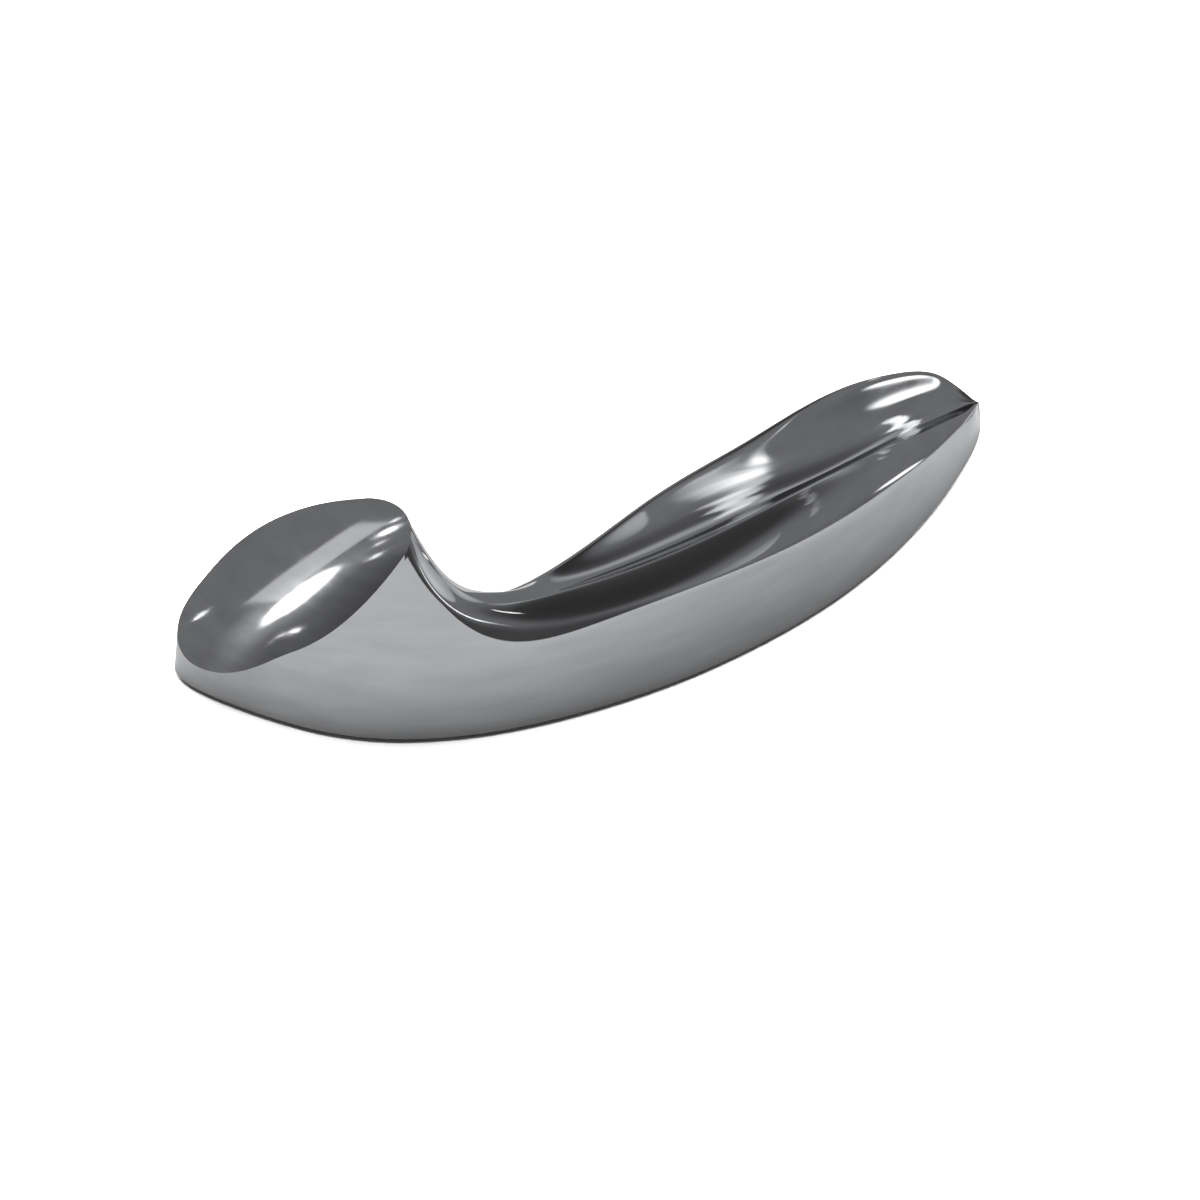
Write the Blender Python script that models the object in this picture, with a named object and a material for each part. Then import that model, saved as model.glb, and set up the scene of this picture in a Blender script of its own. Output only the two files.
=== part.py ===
"""Fairlead chock: a polished casting, its bedding gasket and the hardware that clamps it to a deck.

Lengths below are millimetres. X runs along the chock from the post to the horn tip, -Y is the
outboard side, Z is up, and Z = 0 is the deck. The mesh data is in metres.
"""
import math

import bmesh
import bpy
import numpy as np

MM = 0.001

# Frame: the origin lies on the deck, at mid-length, in the middle of the foot's width.
ORIGIN_X = 76.0
ORIGIN_Y = -28.0

# Casting
FOOT_Z = 0.8
WALL_DRAFT = math.radians(12.0)
# The post's outer end stands steeper: its draft, and where round the outline that starts and ends
POST_END_DRAFT = math.radians(6.0)
POST_END = (0.405, 0.462, 0.510, 0.580)
TIP = (153.0, 1.6)
TIP_TOP = 5.2
# Spline poles of the foot's outline: outboard side from the tip, round the post, inboard side back.
OUTBOARD_POLES = [TIP, (150.6, -2.8), (145.0, -8.4), (136.3, -16.3), (125.8, -23.9), (113.8, -30.8),
                  (100.8, -36.2), (87.8, -39.9), (74.8, -42.5), (61.8, -43.5), (50.6, -43.4),
                  (40.1, -42.3)]
POST_POLES = [(30.2, -39.7), (22.2, -36.2), (14.8, -31.0), (9.0, -24.9), (4.5, -19.4), (0.4, -13.8),
              (-2.0, -9.0), (-2.0, -4.8), (1.3, -2.0), (7.8, -1.2), (15.2, -2.8), (22.8, -6.8),
              (30.0, -12.4)]
INBOARD_POLES = [(35.8, -18.2), (43.0, -23.4), (52.6, -24.6), (66.0, -19.4), (78.5, -13.0),
                 (91.5, -7.6), (105.0, -3.6), (118.0, 0.0), (130.5, 3.8), (141.5, 6.8),
                 (149.8, 8.0), TIP]
# How far round the outline, in poles, the cap's corners lie
OUTBOARD_CORNER = len(OUTBOARD_POLES) - 0.70
INBOARD_CORNER = len(OUTBOARD_POLES) + len(POST_POLES) - 1.40

# Slanted oval cap: middle, half axes and rise of the dome
CAP_MIDDLE = np.array([15.3, -18.3, 22.7])
CAP_LONG = np.array([16.5, -10.7, 15.8])
CAP_SHORT = np.array([-0.4, 8.3, 6.0])
CAP_RISE = 1.5
CAP_ARC = (-24.0, 41.0)

# Spline poles along the horn, from the post to the tip: heights and widths of the top's features
WALL_TOP_OUT = [31.5, 26.0, 18.6, 14.4, 15.2, 16.4, 16.2, 15.0, 13.6, 11.8, 9.6, 7.4, 5.9, 5.4, 5.2]
CREST_Z = [38.0, 31.0, 23.6, 20.0, 19.4, 19.2, 19.4, 19.8, 19.9, 18.8, 16.2, 12.4, 8.9, 6.5, 5.4]
CREST_INSET = [0.6, 1.4, 3.0, 5.2, 6.0, 6.0, 6.0, 6.0, 6.0, 5.6, 5.0, 3.8, 2.2, 0.8, 0.3]
HOLLOW_Z = [39.5, 32.0, 24.0, 20.0, 18.5, 17.0, 15.5, 14.0, 12.6, 11.4, 10.6, 9.4, 7.6, 5.9, 5.4]
RIM_Z = [38.3, 29.6, 19.8, 16.4, 18.6, 19.9, 20.3, 19.7, 19.6, 21.4, 20.9, 17.6, 13.6, 9.2, 5.6]
RIM_INSET = [0.6, 1.4, 2.9, 3.7, 3.1, 2.6, 2.1, 1.9, 1.9, 1.9, 1.7, 1.5, 1.1, 0.6, 0.3]
WALL_TOP_IN = [36.0, 25.0, 14.0, 10.0, 11.5, 13.5, 14.4, 14.6, 14.6, 14.6, 14.2, 12.0, 8.6, 6.2, 5.2]

# Mesh density of the casting
HORN_COLUMNS = 60
POST_COLUMNS = 50
TOP_ROWS = 28
WALL_ROWS = 4
CAP_RINGS = 9

# Fasteners: M8 studs screwed up into the foot, clamped under an 18 mm deck
STUDS = [("post", 18.0, -22.0), ("horn", 88.0, -24.5)]
STUD_R = 4.0
STUD_HOLE_R = 4.3
STUD_TOP = {"post": 13.5, "horn": 10.0}
STUD_BOTTOM = -37.0
STUD_CHAMFER = 0.8
GAP = 0.3
GASKET_THICK = 0.6
GASKET_INSET = 1.6
DECK_THICK = 18.0
PLATE_THICK = 3.0
PLATE_HALF_WIDTH = 14.0
WASHER_R = 8.5
WASHER_THICK = 1.6
WASHER_BORE_R = 4.4
SPRING_R = 7.3
SPRING_THICK = 2.0
SPRING_SPLIT = 1.4
NUT_ACROSS_FLATS = 13.0
NUT_THICK = 6.5
ROUND_SIDES = 48


def spline_knots(count):
    inner = np.arange(0, count - 2)
    return np.concatenate([np.zeros(3), inner, np.full(3, count - 3)]).astype(float)


def spline_weights(count, at):
    """Weights of a clamped uniform cubic B-spline with that many poles, for each at in 0..1."""
    knots = spline_knots(count)
    x = np.clip(np.atleast_1d(np.asarray(at, float)), 0, 1) * (count - 3)
    x = np.minimum(x, count - 3 - 1e-9)
    weights = (x[:, None] >= knots[None, :-1]) & (x[:, None] < knots[None, 1:])
    weights = weights.astype(float)
    for degree in range(1, 4):
        width = len(knots) - 1 - degree
        raised = np.zeros((len(x), width))
        for i in range(width):
            left = knots[i + degree] - knots[i]
            right = knots[i + degree + 1] - knots[i + 1]
            if left > 0:
                raised[:, i] += (x - knots[i]) / left * weights[:, i]
            if right > 0:
                raised[:, i] += (knots[i + degree + 1] - x) / right * weights[:, i + 1]
        weights = raised
    return weights


def spline(poles, at):
    poles = np.asarray(poles, float)
    return spline_weights(len(poles), at) @ poles


def pole_places(count):
    """Where along 0..1 each pole of a clamped uniform cubic B-spline acts."""
    knots = spline_knots(count)
    return np.array([knots[i + 1:i + 4].mean() for i in range(count)]) / (count - 3)


def ease(x):
    x = np.clip(x, 0, 1)
    return x * x * (3 - 2 * x)


OUTLINE_POLES = np.array(OUTBOARD_POLES + POST_POLES + INBOARD_POLES)
OUTLINE_SPAN = len(OUTLINE_POLES) - 3
CORNER_OUT = OUTBOARD_CORNER / OUTLINE_SPAN
CORNER_IN = INBOARD_CORNER / OUTLINE_SPAN


def outline(turn):
    """The foot's outline; turn runs 0..1 from the tip, outboard side first, back to the tip."""
    return spline(OUTLINE_POLES, turn)


def lean(turn):
    """Plan direction in which the wall leans inward, longer than 1 at the pointed tip."""
    step = 1e-4
    turn = np.atleast_1d(np.asarray(turn, float))
    run = outline(turn + step) - outline(turn - step)
    run /= np.linalg.norm(run, axis=1)[:, None]
    normal = np.column_stack([run[:, 1], -run[:, 0]])
    near_tip = 1 - ease(np.minimum(turn, 1 - turn) / 0.03)
    return normal + (np.array([-1.13, 0.0]) - normal) * near_tip[:, None]


def draft_slope(turn):
    """How far the wall leans in for each millimetre of height."""
    turn = np.atleast_1d(np.asarray(turn, float))
    start, steep_from, steep_to, end = POST_END
    steep = ease((turn - start) / (steep_from - start)) * ease((end - turn) / (end - steep_to))
    return np.tan(WALL_DRAFT + (POST_END_DRAFT - WALL_DRAFT) * steep)


def wall(turn, height):
    """Points on the casting's drafted wall."""
    height = np.asarray(height, float)
    inset = (height - FOOT_Z) * draft_slope(turn)
    plan = outline(turn) + lean(turn) * inset[:, None]
    return np.column_stack([plan, height])


def cap_normal():
    normal = np.cross(CAP_LONG, CAP_SHORT)
    return normal / np.linalg.norm(normal)


def cap_edge_height(turn):
    """Height at which the wall meets the plane of the cap's edge."""
    normal = cap_normal()
    start = wall(turn, np.zeros(len(turn)))
    rise = wall(turn, np.ones(len(turn))) - start
    return ((CAP_MIDDLE - start) @ normal) / (rise @ normal)


def cap_arc(across):
    """The cap's edge over the throat, from its outboard corner to its inboard corner."""
    angle = np.radians(CAP_ARC[0] + (CAP_ARC[1] - CAP_ARC[0]) * across)
    arc = CAP_MIDDLE + np.cos(angle)[:, None] * CAP_LONG + np.sin(angle)[:, None] * CAP_SHORT
    turns = np.array([CORNER_OUT, CORNER_IN])
    corners = wall(turns, cap_edge_height(turns))
    arc += (1 - across)[:, None] * (corners[0] - arc[0])
    arc += across[:, None] * (corners[1] - arc[-1])
    return arc


def turn_out(along):
    return CORNER_OUT * (1 - along)


def turn_in(along):
    return CORNER_IN + (1 - CORNER_IN) * along


def offset(points, direction, distance, height):
    plan = points[:, :2] + direction * np.asarray(distance)[:, None]
    return np.column_stack([plan, height])


def top_poles():
    """Pole net of the horn's top: rows run across it, columns from the post to the tip."""
    places = pole_places(len(CREST_Z))
    crest_z, hollow_z, rim_z = np.array(CREST_Z), np.array(HOLLOW_Z), np.array(RIM_Z)
    out_z, in_z = np.array(WALL_TOP_OUT), np.array(WALL_TOP_IN)
    crest_inset, rim_inset = np.array(CREST_INSET), np.array(RIM_INSET)
    out_lean, in_lean = lean(turn_out(places)), lean(turn_in(places))
    wall_out, wall_in = wall(turn_out(places), out_z), wall(turn_in(places), in_z)
    crest = offset(wall_out, out_lean, crest_inset, crest_z)
    rim = offset(wall_in, in_lean, rim_inset, rim_z)
    across = rim - crest
    slope = math.tan(WALL_DRAFT)
    roll_out, roll_in = crest_z - out_z, rim_z - in_z
    shoulder_out = offset(wall_out, out_lean, crest_inset * 0.40, out_z + roll_out * 0.84)
    shoulder_in = offset(wall_in, in_lean, rim_inset * 0.4, in_z + roll_in * 0.88)
    side_out = crest + across * 0.24
    side_out[:, 2] = crest_z + (hollow_z - crest_z) * 0.80
    middle = (crest + rim) / 2
    middle[:, 2] = hollow_z
    side_in = crest + across * 0.76
    side_in[:, 2] = rim_z + (hollow_z - rim_z) * 0.80
    return np.array([
        wall_out,
        offset(wall_out, out_lean, slope * roll_out * 0.40, out_z + roll_out * 0.40),
        shoulder_out,
        crest * 0.94 + shoulder_out * 0.06,
        crest + across * 0.04,
        side_out,
        middle,
        side_in,
        rim - across * 0.04,
        rim,
        shoulder_in,
        offset(wall_in, in_lean, slope * roll_in * 0.5, in_z + roll_in * 0.5),
        wall_in,
    ])


def edge_heights(along, poles, corner_turn):
    """Heights of the wall's top along the horn, meeting the cap's edge at the post."""
    height = spline(poles, along)
    at_cap = cap_edge_height(np.array([corner_turn]))[0]
    return height + (at_cap - height[0]) * (1 - ease(along / 0.16))


def top_surface(along, across):
    """Points of the horn's top and the throat: one row per along, one column per across."""
    net = top_poles()
    rows = spline_weights(net.shape[0], across)
    columns = spline_weights(net.shape[1], along)
    points = np.einsum("vi,ijk,sj->svk", rows, net, columns)
    near_cap = 1 - ease(along / 0.16)
    points += near_cap[:, None, None] * (cap_arc(across) - points[0])[None]
    edge_out = wall(turn_out(along), edge_heights(along, WALL_TOP_OUT, CORNER_OUT))
    edge_in = wall(turn_in(along), edge_heights(along, WALL_TOP_IN, CORNER_IN))
    near_out = 1 - ease(across / 0.08)
    near_in = 1 - ease((1 - across) / 0.08)
    points += (edge_out - points[:, 0])[:, None] * near_out[None, :, None]
    points += (edge_in - points[:, -1])[:, None] * near_in[None, :, None]
    return points


def cap_surface(edge, rings):
    """Rings of the domed cap inside its edge loop, from the middle outward, and its top point."""
    normal = cap_normal()
    axes = np.column_stack([CAP_LONG, CAP_SHORT, normal])
    local = np.linalg.solve(axes, (edge - CAP_MIDDLE).T).T
    reach = np.hypot(local[:, 0], local[:, 1])
    angle = np.arctan2(local[:, 1], local[:, 0])
    out = []
    for ring in range(1, rings):
        r = ring / rings
        size = r * (1 + (reach - 1) * r * r)
        plan = np.outer(size * np.cos(angle), CAP_LONG) + np.outer(size * np.sin(angle), CAP_SHORT)
        out.append(CAP_MIDDLE + plan + normal * CAP_RISE * (1 - r * r))
    return out, CAP_MIDDLE + normal * CAP_RISE


def horn_spacing(count):
    """Stations along the horn, closer together where it climbs the post."""
    even = np.linspace(0, 1, count + 1)
    return even + 0.30 * (even * even - even) * (1 - even)


def to_frame(points):
    return (np.asarray(points) - np.array([ORIGIN_X, ORIGIN_Y, 0.0])) * MM


class Skin:
    """Collects shared vertices and faces of one closed mesh."""

    def __init__(self):
        self.points = []
        self.faces = []

    def add(self, points):
        start = len(self.points)
        self.points.extend(to_frame(points))
        return list(range(start, start + len(points)))

    def strip(self, first, second):
        for a, b, c, d in zip(first[:-1], first[1:], second[1:], second[:-1]):
            corners = list(dict.fromkeys([a, b, c, d]))
            if len(corners) > 2:
                self.faces.append(corners)


def casting_edge(skin):
    """Top edge of the wall round the casting, the throat's grid, and the matching turns."""
    along = horn_spacing(HORN_COLUMNS)
    across = np.linspace(0, 1, TOP_ROWS + 1)
    top = top_surface(along, across)
    grid = [skin.add(row) for row in top[:-1]]
    tip = skin.add([[TIP[0] - 0.6, TIP[1], TIP_TOP]])
    grid.append(tip * (TOP_ROWS + 1))
    post_turns = np.linspace(CORNER_OUT, CORNER_IN, POST_COLUMNS + 1)[1:-1]
    post = skin.add(wall(post_turns, cap_edge_height(post_turns)))
    turns = np.concatenate([turn_out(along[::-1]), post_turns, turn_in(along)])
    edge = [row[0] for row in grid[::-1]] + post + [row[-1] for row in grid]
    return grid, post, turns, edge


def casting_walls(skin, turns, edge):
    """Strips of wall from the top edge down to the foot; returns the foot's loop."""
    tops = np.array([skin.points[i] for i in edge]) / MM + np.array([ORIGIN_X, ORIGIN_Y, 0.0])
    foot = np.column_stack([outline(turns), np.full(len(turns), FOOT_Z)])
    above = edge
    for row in range(WALL_ROWS - 1, -1, -1):
        part = row / WALL_ROWS
        loop = skin.add((foot + (tops - foot) * part)[:-1])
        loop.append(loop[0])
        skin.strip(above, loop)
        above = loop
    return above[:-1]


def casting_cap(skin, grid, post):
    """Domed cap inside the crisp oval edge."""
    loop = post + grid[0][::-1]
    edge = np.array([skin.points[i] for i in loop]) / MM + np.array([ORIGIN_X, ORIGIN_Y, 0.0])
    rings, crown = cap_surface(edge, CAP_RINGS)
    outer = loop
    for points in reversed(rings):
        inner = skin.add(points)
        skin.strip(outer + outer[:1], inner + inner[:1])
        outer = inner
    top = skin.add([crown])[0]
    for a, b in zip(outer, outer[1:] + outer[:1]):
        skin.faces.append([a, b, top])


def casting_mesh():
    skin = Skin()
    grid, post, turns, edge = casting_edge(skin)
    for first, second in zip(grid[:-1], grid[1:]):
        skin.strip(first, second)
    foot = casting_walls(skin, turns, edge)
    casting_cap(skin, grid, post)
    skin.faces.append(foot)
    return mesh_object("chock_body", skin.points, skin.faces)


def mesh_object(name, points, faces):
    mesh = bpy.data.meshes.new(name)
    bm = bmesh.new()
    verts = [bm.verts.new(p) for p in points]
    for face in faces:
        bm.faces.new([verts[i] for i in face])
    bmesh.ops.recalc_face_normals(bm, faces=bm.faces)
    bmesh.ops.triangulate(bm, faces=[f for f in bm.faces if len(f.verts) > 4])
    bm.to_mesh(mesh)
    bm.free()
    obj = bpy.data.objects.new(name, mesh)
    bpy.context.collection.objects.link(obj)
    return obj


def circle(x, y, radius, sides=ROUND_SIDES, phase=0.0):
    angles = phase + np.arange(sides) * 2 * math.pi / sides
    return np.column_stack([x + radius * np.cos(angles), y + radius * np.sin(angles)])


def prism(name, plan, bottom, top):
    """Closed solid with the same plan at both heights."""
    count = len(plan)
    points = [to_frame((x, y, z)) for z in (bottom, top) for x, y in plan]
    sides = [[i, (i + 1) % count, (i + 1) % count + count, i + count] for i in range(count)]
    caps = [list(range(count)), list(range(count, 2 * count))]
    return mesh_object(name, points, sides + caps)


def turned(name, x, y, profile, sides=ROUND_SIDES):
    """Solid of revolution about a vertical axis; profile is (radius, height) from bottom to top."""
    points = []
    faces = []
    for radius, height in profile:
        points.extend(to_frame((px, py, height)) for px, py in circle(x, y, radius, sides))
    for ring in range(len(profile) - 1):
        for i in range(sides):
            j = (i + 1) % sides
            low = ring * sides
            faces.append([low + i, low + j, low + sides + j, low + sides + i])
    faces.append(list(range(sides)))
    faces.append(list(range((len(profile) - 1) * sides, len(profile) * sides)))
    return mesh_object(name, points, faces)


def cut(target, plan, bottom, top):
    cutter = prism("cutter_" + target.name, plan, bottom, top)
    modifier = target.modifiers.new("cut", "BOOLEAN")
    modifier.operation = "DIFFERENCE"
    modifier.solver = "EXACT"
    modifier.object = cutter
    bpy.context.view_layer.objects.active = target
    bpy.ops.object.modifier_apply(modifier=modifier.name)
    bpy.data.objects.remove(cutter)


def add_casting():
    body = casting_mesh()
    for name, x, y in STUDS:
        cut(body, circle(x, y, STUD_HOLE_R), FOOT_Z - 1.0, STUD_TOP[name] + 0.6)


def add_gasket():
    turns = np.linspace(0, 1, 141)[:-1]
    plan = outline(turns) + lean(turns) * GASKET_INSET
    gasket = prism("base_gasket", plan, 0.0, GASKET_THICK)
    for _, x, y in STUDS:
        cut(gasket, circle(x, y, STUD_HOLE_R), -1.0, GASKET_THICK + 1.0)


def add_studs():
    for name, x, y in STUDS:
        top = STUD_TOP[name]
        slim = STUD_R - STUD_CHAMFER
        turned("stud_" + name, x, y, [
            (slim, STUD_BOTTOM),
            (STUD_R, STUD_BOTTOM + STUD_CHAMFER),
            (STUD_R, top - STUD_CHAMFER),
            (slim, top),
        ])


def add_backing_plate():
    """Flat plate with round ends under the deck."""
    top = -DECK_THICK
    (_, x0, y0), (_, x1, y1) = STUDS
    heading = math.atan2(y1 - y0, x1 - x0)
    half = np.linspace(-math.pi / 2, math.pi / 2, 25)
    ends = [(x1, y1, heading), (x0, y0, heading + math.pi)]
    plan = []
    for x, y, facing in ends:
        for angle in half:
            plan.append((x + PLATE_HALF_WIDTH * math.cos(facing + angle),
                         y + PLATE_HALF_WIDTH * math.sin(facing + angle)))
    plate = prism("backing_plate", plan, top - PLATE_THICK, top)
    for _, x, y in STUDS:
        cut(plate, circle(x, y, WASHER_BORE_R), top - PLATE_THICK - 1.0, top + 1.0)
    return top - PLATE_THICK - GAP


def add_washers(top):
    for name, x, y in STUDS:
        bottom = top - WASHER_THICK
        washer = turned("washer_" + name, x, y, [
            (WASHER_R - 0.3, bottom),
            (WASHER_R, bottom + 0.3),
            (WASHER_R, top - 0.3),
            (WASHER_R - 0.3, top),
        ])
        cut(washer, circle(x, y, WASHER_BORE_R), bottom - 1.0, top + 1.0)
    return bottom - GAP


def add_lock_washers(top):
    """Spring washers, cut through at one side."""
    bottom = top - SPRING_THICK
    for name, x, y in STUDS:
        spring = prism("lock_washer_" + name, circle(x, y, SPRING_R), bottom, top)
        cut(spring, circle(x, y, WASHER_BORE_R), bottom - 1.0, top + 1.0)
        half = SPRING_SPLIT / 2
        slot = [(x, y - half), (x + SPRING_R + 2.0, y - half),
                (x + SPRING_R + 2.0, y + half), (x, y + half)]
        cut(spring, slot, bottom - 1.0, top + 1.0)
    return bottom - GAP


def add_nuts(top):
    corner = NUT_ACROSS_FLATS / math.sqrt(3)
    bottom = top - NUT_THICK
    for name, x, y in STUDS:
        nut = prism("nut_" + name, circle(x, y, corner, 6, math.radians(30)), bottom, top)
        cut(nut, circle(x, y, STUD_HOLE_R), bottom - 1.0, top + 1.0)


def build():
    for obj in list(bpy.data.objects):
        bpy.data.objects.remove(obj)
    add_casting()
    add_gasket()
    add_studs()
    level = add_backing_plate()
    level = add_washers(level)
    level = add_lock_washers(level)
    add_nuts(level)


build()
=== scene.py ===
"""Fairlead chock: the looks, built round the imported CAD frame.

Lengths below are millimetres in the casting's own coordinates. X runs along the chock from the
post to the horn tip, -Y is the outboard side, Z is up, and Z = 0 is the deck. to_frame() moves
them to the frame, in metres.
"""

import math

import bmesh
import bpy
import numpy as np
from mathutils import Euler, Matrix, Vector


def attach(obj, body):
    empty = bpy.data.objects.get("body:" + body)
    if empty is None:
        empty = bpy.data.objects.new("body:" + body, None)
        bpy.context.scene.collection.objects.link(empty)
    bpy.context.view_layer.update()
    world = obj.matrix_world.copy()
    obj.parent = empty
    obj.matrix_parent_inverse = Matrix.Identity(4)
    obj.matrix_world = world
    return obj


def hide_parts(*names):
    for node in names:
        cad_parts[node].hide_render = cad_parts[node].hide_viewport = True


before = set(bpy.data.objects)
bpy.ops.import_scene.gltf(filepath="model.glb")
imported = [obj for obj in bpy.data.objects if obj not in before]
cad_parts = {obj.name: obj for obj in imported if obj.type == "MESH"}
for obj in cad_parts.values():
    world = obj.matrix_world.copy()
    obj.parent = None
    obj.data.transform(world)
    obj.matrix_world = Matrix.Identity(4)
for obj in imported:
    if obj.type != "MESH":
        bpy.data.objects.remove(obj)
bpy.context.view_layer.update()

MM = 0.001
ORIGIN_X = 76.0
ORIGIN_Y = -28.0

# Casting: the same surfaces as the CAD solid, on a finer mesh. Pole lists of heights and insets
# run along the horn from the post to the tip.
FOOT_Z = 0.8
WALL_DRAFT = math.radians(12.0)
# The post's outer end stands steeper: its draft, and where round the outline that starts and ends
POST_END_DRAFT = math.radians(6.0)
POST_END = (0.405, 0.462, 0.510, 0.580)
TIP = (153.0, 1.6)
TIP_TOP = 5.2
# At the pointed tip the wall leans straight back; the share of the outline over which it turns
TIP_LEAN = -1.13
TIP_BLEND = 0.03
OUTBOARD_POLES = [TIP, (150.6, -2.8), (145.0, -8.4), (136.3, -16.3), (125.8, -23.9), (113.8, -30.8),
                  (100.8, -36.2), (87.8, -39.9), (74.8, -42.5), (61.8, -43.5), (50.6, -43.4),
                  (40.1, -42.3)]
POST_POLES = [(30.2, -39.7), (22.2, -36.2), (14.8, -31.0), (9.0, -24.9), (4.5, -19.4), (0.4, -13.8),
              (-2.0, -9.0), (-2.0, -4.8), (1.3, -2.0), (7.8, -1.2), (15.2, -2.8), (22.8, -6.8),
              (30.0, -12.4)]
INBOARD_POLES = [(35.8, -18.2), (43.0, -23.4), (52.6, -24.6), (66.0, -19.4), (78.5, -13.0),
                 (91.5, -7.6), (105.0, -3.6), (118.0, 0.0), (130.5, 3.8), (141.5, 6.8),
                 (149.8, 8.0), TIP]
OUTBOARD_CORNER = len(OUTBOARD_POLES) - 0.70
INBOARD_CORNER = len(OUTBOARD_POLES) + len(POST_POLES) - 1.40
CAP_MIDDLE = np.array([15.3, -18.3, 22.7])
CAP_LONG = np.array([16.5, -10.7, 15.8])
CAP_SHORT = np.array([-0.4, 8.3, 6.0])
CAP_RISE = 1.5
CAP_ARC = (-24.0, 41.0)
WALL_TOP_OUT = [31.5, 26.0, 18.6, 14.4, 15.2, 16.4, 16.2, 15.0, 13.6, 11.8, 9.6, 7.4, 5.9, 5.4, 5.2]
CREST_Z = [38.0, 31.0, 23.6, 20.0, 19.4, 19.2, 19.4, 19.8, 19.9, 18.8, 16.2, 12.4, 8.9, 6.5, 5.4]
CREST_INSET = [0.6, 1.4, 3.0, 5.2, 6.0, 6.0, 6.0, 6.0, 6.0, 5.6, 5.0, 3.8, 2.2, 0.8, 0.3]
HOLLOW_Z = [39.5, 32.0, 24.0, 20.0, 18.5, 17.0, 15.5, 14.0, 12.6, 11.4, 10.6, 9.4, 7.6, 5.9, 5.4]
RIM_Z = [38.3, 29.6, 19.8, 16.4, 18.6, 19.9, 20.3, 19.7, 19.6, 21.4, 20.9, 17.6, 13.6, 9.2, 5.6]
RIM_INSET = [0.6, 1.4, 2.9, 3.7, 3.1, 2.6, 2.1, 1.9, 1.9, 1.9, 1.7, 1.5, 1.1, 0.6, 0.3]
WALL_TOP_IN = [36.0, 25.0, 14.0, 10.0, 11.5, 13.5, 14.4, 14.6, 14.6, 14.6, 14.2, 12.0, 8.6, 6.2, 5.2]
# Shares of the horn's length and of its width over which the top meets the cap and the walls
CAP_BLEND = 0.16
EDGE_BLEND = 0.08

# Mesh density of the casting, and how much closer its columns stand beside the post
HORN_COLUMNS = 260
POST_COLUMNS = 150
TOP_ROWS = 120
WALL_ROWS = 20
CAP_RINGS = 40
POST_CROWDING = 0.30

# Hardware
STUDS = [("post", 18.0, -22.0), ("horn", 88.0, -24.5)]
STUD_R = 4.0
STUD_HOLE_R = 4.3
STUD_TOP = {"post": 13.5, "horn": 10.0}
STUD_HOLE_OVER = 0.6
STUD_BOTTOM = -37.0
STUD_CHAMFER = 0.8
THREAD_PITCH = 1.25
THREAD_DEPTH = 0.68
GAP = 0.3
GASKET_THICK = 0.6
GASKET_INSET = 1.6
DECK_THICK = 18.0
PLATE_THICK = 3.0
PLATE_HALF_WIDTH = 14.0
WASHER_R = 8.5
WASHER_THICK = 1.6
WASHER_BORE_R = 4.4
WASHER_EDGE = 0.3
SPRING_R = 7.3
SPRING_THICK = 2.0
SPRING_SPLIT = 1.4
SPRING_EDGE = 0.25
NUT_ACROSS_FLATS = 13.0
NUT_THICK = 6.5
ROUND_SIDES = 96
STUD_SIDES = 48
THREAD_STEPS = 8
NUT_SIDES = 96
NUT_SINK = 0.9
NUT_FACE = 0.97
NUT_CHAMFER = math.radians(30)
SPRING_SLANT = 0.6
GASKET_SIDES = 420
GASKET_ROUND = 0.12
PLATE_END_SIDES = 49
PLATE_ROUND = 0.5

# Metal, floor and table. The table carries painted shade: it is darker inside an oval round the
# chock, standing in for the chock's shadow; its half axes in metres, the range of reach over which
# the painted shade fades, and its tone in the middle as a share.
STEEL_COLOR = (0.425, 0.432, 0.440)
FLOOR_HALF = 12.0
FLOOR_COLOR = 0.92
TABLE_COLOR = 0.28
TABLE_HALF_X = 0.125
TABLE_HALF_Y = 0.195
TABLE_LIFT = 0.05
TABLE_SHADE_OVAL = (0.080, 0.055)
TABLE_SHADE_FADE = (0.45, 1.25)
TABLE_SHADE_SHARE = 0.6

# Sun: strength, spread in degrees, and the azimuth and elevation that it shines from
SUN_ENERGY = 14.0
SUN_SPREAD = 90.0
SUN_FROM = (62.0, 50.0)

# Room: grey tones by the sine of the elevation, and its darker side: the azimuth, the cosines
# between which it darkens, and its brightness as a share
ROOM_TONES = [(-0.30, 0.16), (0.0, 0.30), (0.42, 0.31), (0.60, 0.26), (0.71, 0.16), (0.80, 0.08),
              (0.90, 0.06)]
ROOM_BELOW = (0.08, 0.08, 0.082, 1.0)
ROOM_ABOVE = (0.05, 0.05, 0.052, 1.0)
ROOM_DARK_SIDE = -113.5
ROOM_DARKENING = (0.45, 0.75)
ROOM_DARK_SHARE = 0.35

# Soft boxes: azimuth, elevation, width, height, radiance, soft edge, turn, oval. Angles are in
# degrees, seen from the point that the group surrounds.
BOX_DISTANCE = 4.0
CAP_BOXES = [
    (-177.0, 8.6, 7.2, 13.6, 5.0, 0.35, 0.0, True),
    (-178.0, 8.0, 19.0, 27.0, 0.60, 1.0, 0.0, True),
    (175.3, 16.0, 8.5, 17.0, 0.75, 0.08, 0.0, False),
    (163.0, 5.0, 0.9, 1.8, 9.0, 0.3, 0.0, True),
    (-169.6, -0.4, 1.8, 0.8, 9.0, 0.3, 20.0, True),
    (-177.0, 22.0, 2.3, 2.0, 8.0, 0.3, 0.0, True),
    (-179.5, 24.4, 1.0, 0.9, 6.0, 0.3, 0.0, True),
    (-174.6, 19.2, 1.0, 1.0, 4.0, 0.3, 0.0, True),
    (-171.3, 16.0, 0.8, 1.5, 6.0, 0.3, 0.0, True),
]
HORN_MIDDLE = np.array([96.0, -18.0, 16.0])
HORN_BOXES = [
    (48.0, 36.0, 44.0, 20.0, 0.45, 1.0, 0.0, True),
]
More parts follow.
